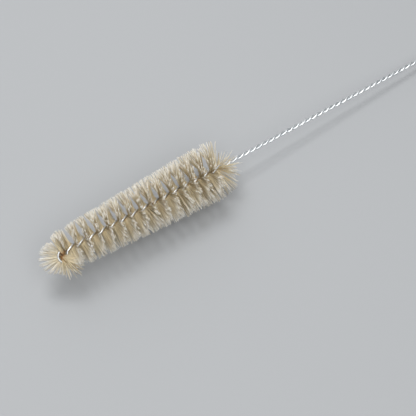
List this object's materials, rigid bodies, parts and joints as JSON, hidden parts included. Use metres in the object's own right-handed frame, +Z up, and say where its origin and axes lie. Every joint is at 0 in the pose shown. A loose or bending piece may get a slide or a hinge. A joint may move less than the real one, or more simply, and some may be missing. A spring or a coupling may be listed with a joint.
{
  "type": "bottle brush",
  "caption": "Tapered spiral bottle brush: pale bristles gripped in one folded and twisted wire, with a fan of bristles at the tip, a bare stem and a hanging loop.",
  "frame": {"origin": "centre of the base, on the table that the brush lies on", "axes": "+X along the brush from the tip to the hanging loop, +Z up"},
  "size_m": [0.3488, 0.0346, 0.0358],
  "materials": {
    "galvanised_wire": "satin",
    "bristle": "matte"
  },
  "bodies": {
    "root": {"twisted_wire": "galvanised_wire", "tip_fan": "bristle", "bristle_tuft_01": "bristle", "bristle_tuft_02": "bristle", "bristle_tuft_03": "bristle", "bristle_tuft_04": "bristle", "bristle_tuft_05": "bristle", "bristle_tuft_06": "bristle", "bristle_tuft_07": "bristle", "bristle_tuft_08": "bristle", "bristle_tuft_09": "bristle", "bristle_tuft_10": "bristle", "bristle_tuft_11": "bristle", "bristle_tuft_12": "bristle", "bristle_tuft_13": "bristle", "bristle_tuft_14": "bristle", "bristle_tuft_15": "bristle"}
  },
  "joints": []
}
